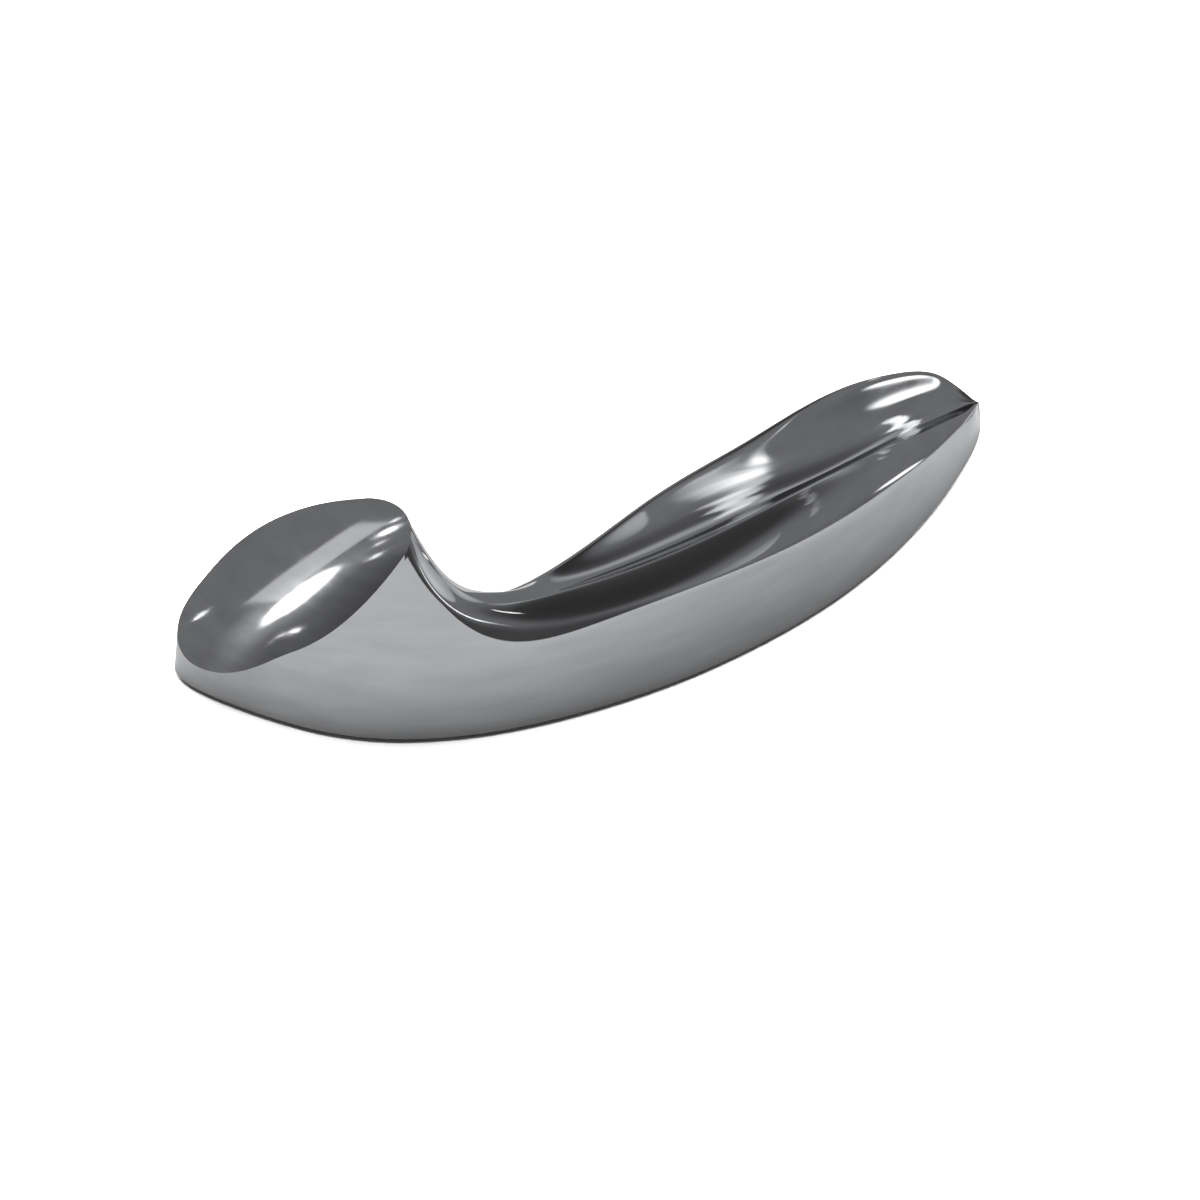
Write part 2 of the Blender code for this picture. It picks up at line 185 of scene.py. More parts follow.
# Gridded spots close over the horn and the throat: the point each aims at, the arc of directions
# it fills (azimuth, elevation), then length, width and radiance of its lights
SPOT_DISTANCE = 70.0
SPOT_SPREAD = 20.0
SPOT_STEPS = 9
SPOTS = [
    ((94.1, -18.1, 14.3), [(-6.0, 42.0), (19.0, 47.0), (46.0, 39.0)], 12.0, 6.0, 0.8),
    ((98.2, -14.7, 15.3), [(-32.0, 22.0), (-26.0, 30.0), (-11.0, 42.0)], 10.0, 5.0, 0.6),
    ((102.2, -12.4, 16.4), [(-38.0, 15.0), (-36.0, 18.0), (-31.0, 27.0)], 4.0, 3.0, 0.7),
    ((132.4, -5.0, 10.2), [(-11.0, 19.0), (14.0, 35.0), (55.0, 24.0)], 15.0, 8.0, 1.6),
    ((38.0, -35.3, 24.0), [(-46.0, 8.0), (-50.0, 14.0), (-58.0, 22.0)], 6.0, 4.0, 2.0),
    ((46.5, -36.5, 20.0), [(6.0, 49.0), (-2.0, 53.0), (-8.0, 56.0)], 4.0, 2.0, 1.6),
]
# Wide pale spots for the flank of the throat: target, direction, width, height, radiance, spread
FLANK_SPOTS = [
    ((35.5, -30.0, 27.0), (-22.0, 6.0), 46.0, 34.0, 0.75, 56.0),
    ((37.0, -30.0, 25.0), (14.0, 12.0), 46.0, 40.0, 0.6, 56.0),
]
# Low card beyond the tip, in the same terms as the soft boxes
CARD_MIDDLE = np.array([133.0, 2.0, 14.0])
CARD_DISTANCE = 0.11
CARDS = [
    (-19.0, -6.0, 24.0, 4.5, 3.0, 0.5, -8.0, True),
]

# Camera, looking down at the outboard side from the post's end
CAMERA_AIM = (70.84, -16.74, 0.0)
CAMERA_DISTANCE = 760.0
CAMERA_ELEVATION = math.radians(39.0)
CAMERA_TURN = math.radians(23.5)
CAMERA_LENS = 134.1


def spline_knots(count):
    inner = np.arange(0, count - 2)
    return np.concatenate([np.zeros(3), inner, np.full(3, count - 3)]).astype(float)


def spline_weights(count, at):
    """Weights of a clamped uniform cubic B-spline with that many poles, for each at in 0..1."""
    knots = spline_knots(count)
    x = np.clip(np.atleast_1d(np.asarray(at, float)), 0, 1) * (count - 3)
    x = np.minimum(x, count - 3 - 1e-9)
    weights = (x[:, None] >= knots[None, :-1]) & (x[:, None] < knots[None, 1:])
    weights = weights.astype(float)
    for degree in range(1, 4):
        width = len(knots) - 1 - degree
        raised = np.zeros((len(x), width))
        for i in range(width):
            left = knots[i + degree] - knots[i]
            right = knots[i + degree + 1] - knots[i + 1]
            if left > 0:
                raised[:, i] += (x - knots[i]) / left * weights[:, i]
            if right > 0:
                raised[:, i] += (knots[i + degree + 1] - x) / right * weights[:, i + 1]
        weights = raised
    return weights


def spline(poles, at):
    poles = np.asarray(poles, float)
    return spline_weights(len(poles), at) @ poles


def pole_places(count):
    """Where along 0..1 each pole of a clamped uniform cubic B-spline acts."""
    knots = spline_knots(count)
    return np.array([knots[i + 1:i + 4].mean() for i in range(count)]) / (count - 3)


def ease(x):
    x = np.clip(x, 0, 1)
    return x * x * (3 - 2 * x)


OUTLINE_POLES = np.array(OUTBOARD_POLES + POST_POLES + INBOARD_POLES)
OUTLINE_SPAN = len(OUTLINE_POLES) - 3
CORNER_OUT = OUTBOARD_CORNER / OUTLINE_SPAN
CORNER_IN = INBOARD_CORNER / OUTLINE_SPAN


def outline(turn):
    """The foot's outline; turn runs 0..1 from the tip, outboard side first, back to the tip."""
    return spline(OUTLINE_POLES, turn)


def lean(turn):
    """Plan direction in which the wall leans inward, longer than 1 at the pointed tip."""
    step = 1e-4
    turn = np.atleast_1d(np.asarray(turn, float))
    run = outline(turn + step) - outline(turn - step)
    run /= np.linalg.norm(run, axis=1)[:, None]
    normal = np.column_stack([run[:, 1], -run[:, 0]])
    near_tip = 1 - ease(np.minimum(turn, 1 - turn) / TIP_BLEND)
    return normal + (np.array([TIP_LEAN, 0.0]) - normal) * near_tip[:, None]


def draft_slope(turn):
    """How far the wall leans in for each millimetre of height."""
    turn = np.atleast_1d(np.asarray(turn, float))
    start, steep_from, steep_to, end = POST_END
    steep = ease((turn - start) / (steep_from - start)) * ease((end - turn) / (end - steep_to))
    return np.tan(WALL_DRAFT + (POST_END_DRAFT - WALL_DRAFT) * steep)


def wall(turn, height):
    """Points on the casting's drafted wall."""
    height = np.asarray(height, float)
    inset = (height - FOOT_Z) * draft_slope(turn)
    plan = outline(turn) + lean(turn) * inset[:, None]
    return np.column_stack([plan, height])


def cap_normal():
    normal = np.cross(CAP_LONG, CAP_SHORT)
    return normal / np.linalg.norm(normal)


def cap_edge_height(turn):
    """Height at which the wall meets the plane of the cap's edge."""
    normal = cap_normal()
    start = wall(turn, np.zeros(len(turn)))
    rise = wall(turn, np.ones(len(turn))) - start
    return ((CAP_MIDDLE - start) @ normal) / (rise @ normal)


def cap_arc(across):
    """The cap's edge over the throat, from its outboard corner to its inboard corner."""
    angle = np.radians(CAP_ARC[0] + (CAP_ARC[1] - CAP_ARC[0]) * across)
    arc = CAP_MIDDLE + np.cos(angle)[:, None] * CAP_LONG + np.sin(angle)[:, None] * CAP_SHORT
    turns = np.array([CORNER_OUT, CORNER_IN])
    corners = wall(turns, cap_edge_height(turns))
    arc += (1 - across)[:, None] * (corners[0] - arc[0])
    arc += across[:, None] * (corners[1] - arc[-1])
    return arc


def turn_out(along):
    return CORNER_OUT * (1 - along)


def turn_in(along):
    return CORNER_IN + (1 - CORNER_IN) * along


def offset(points, direction, distance, height):
    plan = points[:, :2] + direction * np.asarray(distance)[:, None]
    return np.column_stack([plan, height])


def top_poles():
    """Pole net of the horn's top: rows run across it, columns from the post to the tip."""
    places = pole_places(len(CREST_Z))
    crest_z, hollow_z, rim_z = np.array(CREST_Z), np.array(HOLLOW_Z), np.array(RIM_Z)
    out_z, in_z = np.array(WALL_TOP_OUT), np.array(WALL_TOP_IN)
    crest_inset, rim_inset = np.array(CREST_INSET), np.array(RIM_INSET)
    out_lean, in_lean = lean(turn_out(places)), lean(turn_in(places))
    wall_out, wall_in = wall(turn_out(places), out_z), wall(turn_in(places), in_z)
    crest = offset(wall_out, out_lean, crest_inset, crest_z)
    rim = offset(wall_in, in_lean, rim_inset, rim_z)
    across = rim - crest
    slope = math.tan(WALL_DRAFT)
    roll_out, roll_in = crest_z - out_z, rim_z - in_z
    shoulder_out = offset(wall_out, out_lean, crest_inset * 0.40, out_z + roll_out * 0.84)
    shoulder_in = offset(wall_in, in_lean, rim_inset * 0.4, in_z + roll_in * 0.88)
    side_out = crest + across * 0.24
    side_out[:, 2] = crest_z + (hollow_z - crest_z) * 0.80
    middle = (crest + rim) / 2
    middle[:, 2] = hollow_z
    side_in = crest + across * 0.76
    side_in[:, 2] = rim_z + (hollow_z - rim_z) * 0.80
    return np.array([
        wall_out,
        offset(wall_out, out_lean, slope * roll_out * 0.40, out_z + roll_out * 0.40),
        shoulder_out,
        crest * 0.94 + shoulder_out * 0.06,
        crest + across * 0.04,
        side_out,
        middle,
        side_in,
        rim - across * 0.04,
        rim,
        shoulder_in,
        offset(wall_in, in_lean, slope * roll_in * 0.5, in_z + roll_in * 0.5),
        wall_in,
    ])


def edge_heights(along, poles, corner_turn):
    """Heights of the wall's top along the horn, meeting the cap's edge at the post."""
    height = spline(poles, along)
    at_cap = cap_edge_height(np.array([corner_turn]))[0]
    return height + (at_cap - height[0]) * (1 - ease(along / CAP_BLEND))


def top_surface(along, across):
    """Points of the horn's top and the throat: one row per along, one column per across."""
    net = top_poles()
    rows = spline_weights(net.shape[0], across)
    columns = spline_weights(net.shape[1], along)
    points = np.einsum("vi,ijk,sj->svk", rows, net, columns)
    near_cap = 1 - ease(along / CAP_BLEND)
    points += near_cap[:, None, None] * (cap_arc(across) - points[0])[None]
    edge_out = wall(turn_out(along), edge_heights(along, WALL_TOP_OUT, CORNER_OUT))
    edge_in = wall(turn_in(along), edge_heights(along, WALL_TOP_IN, CORNER_IN))
    near_out = 1 - ease(across / EDGE_BLEND)
    near_in = 1 - ease((1 - across) / EDGE_BLEND)
    points += (edge_out - points[:, 0])[:, None] * near_out[None, :, None]
    points += (edge_in - points[:, -1])[:, None] * near_in[None, :, None]
    return points


def cap_surface(edge, rings):
    """Rings of the domed cap inside its edge loop, from the middle outward, and its top point."""
    normal = cap_normal()
    axes = np.column_stack([CAP_LONG, CAP_SHORT, normal])
    local = np.linalg.solve(axes, (edge - CAP_MIDDLE).T).T
    reach = np.hypot(local[:, 0], local[:, 1])
    angle = np.arctan2(local[:, 1], local[:, 0])
    out = []
    for ring in range(1, rings):
        r = ring / rings
        size = r * (1 + (reach - 1) * r * r)
        plan = np.outer(size * np.cos(angle), CAP_LONG) + np.outer(size * np.sin(angle), CAP_SHORT)
        out.append(CAP_MIDDLE + plan + normal * CAP_RISE * (1 - r * r))
    return out, CAP_MIDDLE + normal * CAP_RISE


def horn_spacing(count):
    """Stations along the horn, closer together where it climbs the post."""
    even = np.linspace(0, 1, count + 1)
    return even + POST_CROWDING * (even * even - even) * (1 - even)


def to_frame(points):
    return (np.asarray(points) - np.array([ORIGIN_X, ORIGIN_Y, 0.0])) * MM


def from_frame(points):
    return np.array(points) / MM + np.array([ORIGIN_X, ORIGIN_Y, 0.0])


class Skin:
    """Collects shared vertices, faces and sharp edges of one closed mesh."""

    def __init__(self):
        self.points = []
        self.faces = []
        self.sharp = []

    def add(self, points):
        start = len(self.points)
        self.points.extend(to_frame(points))
        return list(range(start, start + len(points)))

    def strip(self, first, second):
        for a, b, c, d in zip(first[:-1], first[1:], second[1:], second[:-1]):
            corners = list(dict.fromkeys([a, b, c, d]))
            if len(corners) > 2:
                self.faces.append(corners)

    def crease(self, loop):
        self.sharp.extend(zip(loop, loop[1:] + loop[:1]))


def casting_edge(skin):
    """Top edge of the wall round the casting, the throat's grid, and the matching turns."""
    along = horn_spacing(HORN_COLUMNS)
    across = np.linspace(0, 1, TOP_ROWS + 1)
    top = top_surface(along, across)
    grid = [skin.add(row) for row in top[:-1]]
    tip = skin.add([[TIP[0] - 0.6, TIP[1], TIP_TOP]])
    grid.append(tip * (TOP_ROWS + 1))
    post_turns = np.linspace(CORNER_OUT, CORNER_IN, POST_COLUMNS + 1)[1:-1]
    post = skin.add(wall(post_turns, cap_edge_height(post_turns)))
    turns = np.concatenate([turn_out(along[::-1]), post_turns, turn_in(along)])
    edge = [row[0] for row in grid[::-1]] + post + [row[-1] for row in grid]
    return grid, post, turns, edge


def casting_walls(skin, turns, edge):
    """Strips of wall from the top edge down to the foot; returns the foot's loop."""
    tops = from_frame([skin.points[i] for i in edge])
    foot = np.column_stack([outline(turns), np.full(len(turns), FOOT_Z)])
    above = edge
    for row in range(WALL_ROWS - 1, -1, -1):
        part = row / WALL_ROWS
        loop = skin.add((foot + (tops - foot) * part)[:-1])
        loop.append(loop[0])
        skin.strip(above, loop)
        above = loop
    return above[:-1]


def casting_cap(skin, grid, post):
    """Domed cap inside the crisp oval edge."""
    loop = post + grid[0][::-1]
    skin.crease(loop)
    edge = from_frame([skin.points[i] for i in loop])
    rings, crown = cap_surface(edge, CAP_RINGS)
    outer = loop
    for points in reversed(rings):
        inner = skin.add(points)
        skin.strip(outer + outer[:1], inner + inner[:1])
        outer = inner
    top = skin.add([crown])[0]
    for a, b in zip(outer, outer[1:] + outer[:1]):
        skin.faces.append([a, b, top])


def casting():
    skin = Skin()
    grid, post, turns, edge = casting_edge(skin)
    for first, second in zip(grid[:-1], grid[1:]):
        skin.strip(first, second)
    foot = casting_walls(skin, turns, edge)
    skin.crease(foot)
    casting_cap(skin, grid, post)
    bm = bmesh.new()
    verts = [bm.verts.new(p) for p in skin.points]
    for face in skin.faces:
        bm.faces.new([verts[i] for i in face])
    for a, b in skin.sharp:
        edge = bm.edges.get((verts[a], verts[b]))
        if edge:
            edge.smooth = False
    close_foot(bm, [verts[i] for i in foot])
    return finish_mesh("casting", bm)


def close_foot(bm, foot):
    """Flat underside with the two blind stud sockets."""
    rims = loop_edges(bm, foot)
    for name, x, y in STUDS:
        heights = (FOOT_Z, STUD_TOP[name] + STUD_HOLE_OVER)
        low, high = [ring_verts(bm, circle(x, y, STUD_HOLE_R), z) for z in heights]
        bridge(bm, low, high)
        bm.faces.new(high)
        for edge in loop_edges(bm, low) + loop_edges(bm, high):
            edge.smooth = False
        rims += loop_edges(bm, low)
    bmesh.ops.triangle_fill(bm, use_beauty=True, use_dissolve=False, edges=rims)


def finish_mesh(name, bm, smooth=True, sharp_above=None):
    """Linked object from a bmesh; edges bent by more than sharp_above degrees are shaded sharp."""
    bmesh.ops.recalc_face_normals(bm, faces=bm.faces)
    for face in bm.faces:
        face.smooth = smooth
    if sharp_above:
        for edge in bm.edges:
            if edge.is_manifold and edge.calc_face_angle() > math.radians(sharp_above):
                edge.smooth = False
    mesh = bpy.data.meshes.new(name)
    bm.to_mesh(mesh)
    bm.free()
    obj = bpy.data.objects.new(name, mesh)
    bpy.context.collection.objects.link(obj)
    return obj


def around(x, y, radius, angles):
    """Plan points about a centre; radius may differ from point to point."""
    return np.column_stack([x + radius * np.cos(angles), y + radius * np.sin(angles)])


def round_angles(sides):
    return np.arange(sides) * 2 * math.pi / sides


def circle(x, y, radius):
    return around(x, y, radius, round_angles(ROUND_SIDES))


def bridge(bm, low, high):
    """Band of faces between two closed loops of equal length."""
    for i in range(len(low)):
        j = (i + 1) % len(low)
        bm.faces.new([low[i], low[j], high[j], high[i]])


def loop_edges(bm, loop):
    return [bm.edges.get((a, b)) for a, b in zip(loop, loop[1:] + loop[:1])]


def ring_verts(bm, plan, height):
    heights = np.broadcast_to(height, len(plan))
    return [bm.verts.new(to_frame((x, y, z))) for (x, y), z in zip(plan, heights)]


def sheet(name, plan_at, bottom, top, round_edge, bore_r):
    """Flat plate with rounded edges and a bore at each stud; plan_at(inset) gives its outline."""
    bm = bmesh.new()
    steps = [(1.0, 0.0), (0.29, 0.29), (0.0, 1.0)]
    profile = [(round_edge * i, bottom + round_edge * z) for i, z in steps]
    profile += [(round_edge * i, top - round_edge * z) for i, z in reversed(steps)]
    loops = [ring_verts(bm, plan_at(inset), z) for inset, z in profile]
    for low, high in zip(loops[:-1], loops[1:]):
        bridge(bm, low, high)
    low_rims = loop_edges(bm, loops[0])
    high_rims = loop_edges(bm, loops[-1])
    for _, x, y in STUDS:
        bore = [(bore_r + round_edge, bottom), (bore_r, bottom + round_edge),
                (bore_r, top - round_edge), (bore_r + round_edge, top)]
        rings = [ring_verts(bm, circle(x, y, r), z) for r, z in bore]
        for low, high in zip(rings[:-1], rings[1:]):
            bridge(bm, low, high)
        low_rims += loop_edges(bm, rings[0])
        high_rims += loop_edges(bm, rings[-1])
    for rims in (low_rims, high_rims):
        bmesh.ops.triangle_fill(bm, use_beauty=True, use_dissolve=False, edges=rims)
    return finish_mesh(name, bm, sharp_above=50)


def gasket_plan(inset):
    turns = np.linspace(0, 1, GASKET_SIDES + 1)[:-1]
    return outline(turns) + lean(turns) * (GASKET_INSET + inset)


def plate_plan(inset):
    (_, x0, y0), (_, x1, y1) = STUDS
    heading = math.atan2(y1 - y0, x1 - x0)
    half = np.linspace(-math.pi / 2, math.pi / 2, PLATE_END_SIDES)
    radius = PLATE_HALF_WIDTH - inset
    plan = []
    for x, y, facing in ((x1, y1, heading), (x0, y0, heading + math.pi)):
        plan.append(around(x, y, radius, facing + half))
    return np.concatenate(plan)


def threaded_stud(name, x, y, top):
    """Stud with a rolled helical thread, running out into a chamfer at both ends."""
    bm = bmesh.new()
    rows = int((top - STUD_BOTTOM) / THREAD_PITCH * THREAD_STEPS)
    heights = np.linspace(STUD_BOTTOM, top, rows + 1)
    angles = round_angles(STUD_SIDES)
    loops = []
    for z in heights:
        phase = (z / THREAD_PITCH - angles / (2 * math.pi)) % 1.0
        groove = np.clip(1.25 * np.abs(2 * phase - 1) - 0.12, 0, 1)
        chamfer = STUD_CHAMFER - min(z - STUD_BOTTOM, top - z, STUD_CHAMFER)
        radius = np.minimum(STUD_R - THREAD_DEPTH * groove, STUD_R - chamfer)
        loops.append(ring_verts(bm, around(x, y, radius, angles), z))
    for low, high in zip(loops[:-1], loops[1:]):
        bridge(bm, low, high)
    bm.faces.new(loops[0])
    bm.faces.new(loops[-1])
    return finish_mesh(name, bm, sharp_above=60)


def washer(name, x, y, bottom, top):
    """Flat washer with rounded edges."""
    bm = bmesh.new()
    outer, bore, edge = WASHER_R, WASHER_BORE_R, WASHER_EDGE
    corner = edge * 0.3
    profile = [(bore + edge, bottom), (outer - edge, bottom), (outer - corner, bottom + corner),
               (outer, bottom + edge), (outer, top - edge), (outer - corner, top - corner),
               (outer - edge, top), (bore + edge, top), (bore, top - edge), (bore, bottom + edge)]
    loops = [ring_verts(bm, circle(x, y, r), z) for r, z in profile]
    for low, high in zip(loops, loops[1:] + loops[:1]):
        bridge(bm, low, high)
    return finish_mesh(name, bm, sharp_above=50)


def spring_washer(name, x, y, bottom, top):
    """Split ring of nearly square wire, its ends cut on a slant."""
    bm = bmesh.new()
    inner, outer, edge = WASHER_BORE_R, SPRING_R, SPRING_EDGE
    section = [(inner + edge, bottom), (outer - edge, bottom), (outer, bottom + edge),
               (outer, top - edge), (outer - edge, top), (inner + edge, top),
               (inner, top - edge), (inner, bottom + edge)]
    gap = SPRING_SPLIT / SPRING_R
    loops = []
    for part in np.linspace(0, 1, ROUND_SIDES + 1):
        loop = []
        for radius, z in section:
            slant = SPRING_SLANT * (z - (bottom + top) / 2) / SPRING_R
            angle = gap / 2 + (2 * math.pi - gap) * part + slant
            point = (x + radius * math.cos(angle), y + radius * math.sin(angle), z)
            loop.append(bm.verts.new(to_frame(point)))
        loops.append(loop)
    for low, high in zip(loops[:-1], loops[1:]):
        bridge(bm, low, high)
    bm.faces.new(loops[0])
    bm.faces.new(loops[-1])
    return finish_mesh(name, bm, sharp_above=40)


def hex_nut(name, x, y, bottom, top):
    """Hexagon nut with both faces chamfered to a circle and a countersunk threaded bore."""
    bm = bmesh.new()
    angles = round_angles(NUT_SIDES)
    flat = NUT_ACROSS_FLATS / 2
    hexagon = flat / np.cos((angles % (math.pi / 3)) - math.pi / 6)
    face = np.full(NUT_SIDES, flat * NUT_FACE)
    drop = (hexagon - face) * math.tan(NUT_CHAMFER)
    bore = np.full(NUT_SIDES, STUD_R + GAP)
    rows = int((top - bottom) / THREAD_PITCH * THREAD_STEPS)
    stages = [(face, bottom), (hexagon, bottom + drop), (hexagon, top - drop), (face, top)]
    for z in np.linspace(top, bottom, rows + 1):
        sink = max(0.0, NUT_SINK - min(z - bottom, top - z))
        phase = (z / THREAD_PITCH - angles / (2 * math.pi)) % 1.0
        stages.append((bore + np.maximum(sink, THREAD_DEPTH * np.abs(2 * phase - 1) * 0.5), z))
    loops = []
    for radius, z in stages:
        loops.append(ring_verts(bm, around(x, y, radius, angles), z))
    for low, high in zip(loops, loops[1:] + loops[:1]):
        bridge(bm, low, high)
    return finish_mesh(name, bm, sharp_above=28)


def new_material(name, color, metallic, roughness):
    material = bpy.data.materials.new(name)
    material.use_nodes = True
    shader = material.node_tree.nodes["Principled BSDF"]
    shader.inputs["Base Color"].default_value = (*color, 1.0)
    shader.inputs["Metallic"].default_value = metallic
    shader.inputs["Roughness"].default_value = roughness
    return material, material.node_tree.nodes, material.node_tree.links, shader


def noise(nodes, links, stretch, detail):
    """Noise over the object's own coordinates; stretch is in waves per metre along X, Y and Z."""
    place = nodes.new("ShaderNodeTexCoord")
    scale = nodes.new("ShaderNodeMapping")
    scale.inputs["Scale"].default_value = stretch
    texture = nodes.new("ShaderNodeTexNoise")
    texture.inputs["Scale"].default_value = 1.0
    texture.inputs["Detail"].default_value = detail
    links.new(place.outputs["Object"], scale.inputs["Vector"])
    links.new(scale.outputs["Vector"], texture.inputs["Vector"])
    return texture.outputs["Fac"]


def spread(nodes, links, value, low, high, middle=0.5, swing=0.25):
    """Map a noise around its middle to the range low..high."""
    node = nodes.new("ShaderNodeMapRange")
    node.inputs["From Min"].default_value = middle - swing
    node.inputs["From Max"].default_value = middle + swing
    node.inputs["To Min"].default_value = low
    node.inputs["To Max"].default_value = high
    links.new(value, node.inputs["Value"])
    return node.outputs["Result"]


def tint(nodes, links, value, dark, light):
    ramp = nodes.new("ShaderNodeValToRGB")
    ramp.color_ramp.elements[0].position = 0.30
    ramp.color_ramp.elements[0].color = (*dark, 1.0)
    ramp.color_ramp.elements[1].position = 0.70
    ramp.color_ramp.elements[1].color = (*light, 1.0)
    links.new(value, ramp.inputs["Fac"])
    return ramp.outputs["Color"]


def bump(nodes, links, layers):
    """Stack of bumps; each layer is a height, a depth in metres and a strength."""
    normal = None
    for height, depth, strength in layers:
        node = nodes.new("ShaderNodeBump")
        node.inputs["Distance"].default_value = depth
        node.inputs["Strength"].default_value = strength
        links.new(height, node.inputs["Height"])
        if normal:
            links.new(normal, node.inputs["Normal"])
        normal = node.outputs["Normal"]
    return normal


def polished_steel():
    """Buffed stainless steel: soft waves, fine buffing lines and a faint haze."""
    material, nodes, links, shader = new_material("polished_steel", STEEL_COLOR, 1.0, 0.06)
    waves = noise(nodes, links, (38, 90, 150), 2.0)
    lines = noise(nodes, links, (220, 1500, 5200), 3.0)
    haze = noise(nodes, links, (55, 160, 420), 4.0)
    dark = tuple(c * 0.93 for c in STEEL_COLOR)
    light = tuple(c * 1.05 for c in STEEL_COLOR)
    links.new(tint(nodes, links, haze, dark, light), shader.inputs["Base Color"])
    links.new(spread(nodes, links, haze, 0.045, 0.10), shader.inputs["Roughness"])
    normal = bump(nodes, links, [(waves, 0.00002, 0.03), (lines, 0.000001, 0.25)])
    links.new(normal, shader.inputs["Normal"])
    return material


def rubber():
    material, nodes, links, shader = new_material("gasket_rubber", (0.03, 0.03, 0.032), 0.0, 0.6)
    grain = noise(nodes, links, (2600, 2600, 2600), 4.0)
    cloud = noise(nodes, links, (90, 90, 90), 3.0)
    color = tint(nodes, links, cloud, (0.018, 0.018, 0.020), (0.045, 0.045, 0.047))
    links.new(color, shader.inputs["Base Color"])
    links.new(spread(nodes, links, grain, 0.52, 0.78), shader.inputs["Roughness"])
    links.new(bump(nodes, links, [(grain, 0.00008, 0.4)]), shader.inputs["Normal"])
    return material


def plain_steel():
    """Cold-formed fastener steel with drawn streaks."""
    material, nodes, links, shader = new_material("fastener_steel", (0.52, 0.52, 0.51), 1.0, 0.3)
    grain = noise(nodes, links, (900, 900, 5200), 4.0)
    cloud = noise(nodes, links, (160, 160, 160), 3.0)
    color = tint(nodes, links, cloud, (0.45, 0.45, 0.445), (0.60, 0.60, 0.59))
    links.new(color, shader.inputs["Base Color"])
    links.new(spread(nodes, links, grain, 0.22, 0.42), shader.inputs["Roughness"])
    links.new(bump(nodes, links, [(grain, 0.00001, 0.5)]), shader.inputs["Normal"])
    return material


def brushed_steel():
    """Plate brushed along its length."""
    material, nodes, links, shader = new_material("plate_steel", (0.50, 0.50, 0.50), 1.0, 0.35)
    lines = noise(nodes, links, (60, 6500, 6500), 4.0)
    cloud = noise(nodes, links, (70, 70, 70), 3.0)
    color = tint(nodes, links, cloud, (0.44, 0.44, 0.44), (0.56, 0.56, 0.56))
    links.new(color, shader.inputs["Base Color"])
    links.new(spread(nodes, links, lines, 0.26, 0.46), shader.inputs["Roughness"])
    links.new(bump(nodes, links, [(lines, 0.00001, 0.5)]), shader.inputs["Normal"])
    return material


def add_camera():
    camera = bpy.data.objects.new("camera", bpy.data.cameras.new("camera"))
    bpy.context.collection.objects.link(camera)
    aim = Vector(to_frame(CAMERA_AIM))
    away = Vector((-math.sin(CAMERA_TURN) * math.cos(CAMERA_ELEVATION),
                   -math.cos(CAMERA_TURN) * math.cos(CAMERA_ELEVATION),
                   math.sin(CAMERA_ELEVATION)))
    camera.location = aim + away * CAMERA_DISTANCE * MM
    camera.rotation_euler = Euler((math.pi / 2 - CAMERA_ELEVATION, 0.0, -CAMERA_TURN))
    camera.data.lens = CAMERA_LENS
    camera.data.sensor_width = 36.0
    camera.data.clip_start = 0.01
    camera.data.clip_end = 100.0
    bpy.context.scene.camera = camera


def flat_panel(name, half_x, half_y, turn, color):
    """Matt rectangle on the deck plane, centred on the camera's aim and turned about the vertical."""
    bm = bmesh.new()
    middle = to_frame(CAMERA_AIM)
    across = np.array([math.cos(turn), math.sin(turn), 0.0])
    deep = np.array([-math.sin(turn), math.cos(turn), 0.0])
    signs = [(-1, -1), (1, -1), (1, 1), (-1, 1)]
    bm.faces.new([bm.verts.new(middle + across * half_x * i + deep * half_y * j) for i, j in signs])
    panel = finish_mesh(name, bm, smooth=False)
    material, *_, shader = new_material(name, (color, color, color), 0.0, 0.6)
    shader.inputs["Specular IOR Level"].default_value = 0.0
    panel.data.materials.append(material)
    return panel


def paint_table_shade(material):
    """Painted shade: darker close round the chock than further out, as the chock's shadow."""
    nodes, links = material.node_tree.nodes, material.node_tree.links
    place = nodes.new("ShaderNodeTexCoord")
    scale = nodes.new("ShaderNodeMapping")
    scale.inputs["Scale"].default_value = (1 / TABLE_SHADE_OVAL[0], 1 / TABLE_SHADE_OVAL[1], 0.0)
    links.new(place.outputs["Object"], scale.inputs["Vector"])
    reach = nodes.new("ShaderNodeVectorMath")
    reach.operation = "LENGTH"
    links.new(scale.outputs["Vector"], reach.inputs[0])
    # Painted shade: the table's colour drops towards the chock, in place of its shadow
    tone = nodes.new("ShaderNodeMapRange")
    tone.inputs["From Min"].default_value = TABLE_SHADE_FADE[0]
    tone.inputs["From Max"].default_value = TABLE_SHADE_FADE[1]
    tone.inputs["To Min"].default_value = TABLE_COLOR * TABLE_SHADE_SHARE
    tone.inputs["To Max"].default_value = TABLE_COLOR
    links.new(reach.outputs["Value"], tone.inputs["Value"])
    links.new(tone.outputs["Result"], nodes["Principled BSDF"].inputs["Base Color"])


def add_floor():
    """Pale floor, and a hair above it the darker table top that only the metal mirrors.

    The table top's colour holds painted shade round the chock.
    """
    floor = flat_panel("floor", FLOOR_HALF, FLOOR_HALF, 0.0, FLOOR_COLOR)
    floor.visible_glossy = False
    table = flat_panel("table", TABLE_HALF_X, TABLE_HALF_Y, -CAMERA_TURN, TABLE_COLOR)
    table.location.z = TABLE_LIFT * MM
    # Painted shade round the chock, put into the table's colour
    paint_table_shade(table.data.materials[0])
    table.visible_camera = False
    table.visible_diffuse = False
    table.visible_shadow = False


def toward(azimuth, elevation):
    """Unit vector in a direction given in degrees."""
    a, e = math.radians(azimuth), math.radians(elevation)
    return Vector((math.cos(a) * math.cos(e), math.sin(a) * math.cos(e), math.sin(e)))


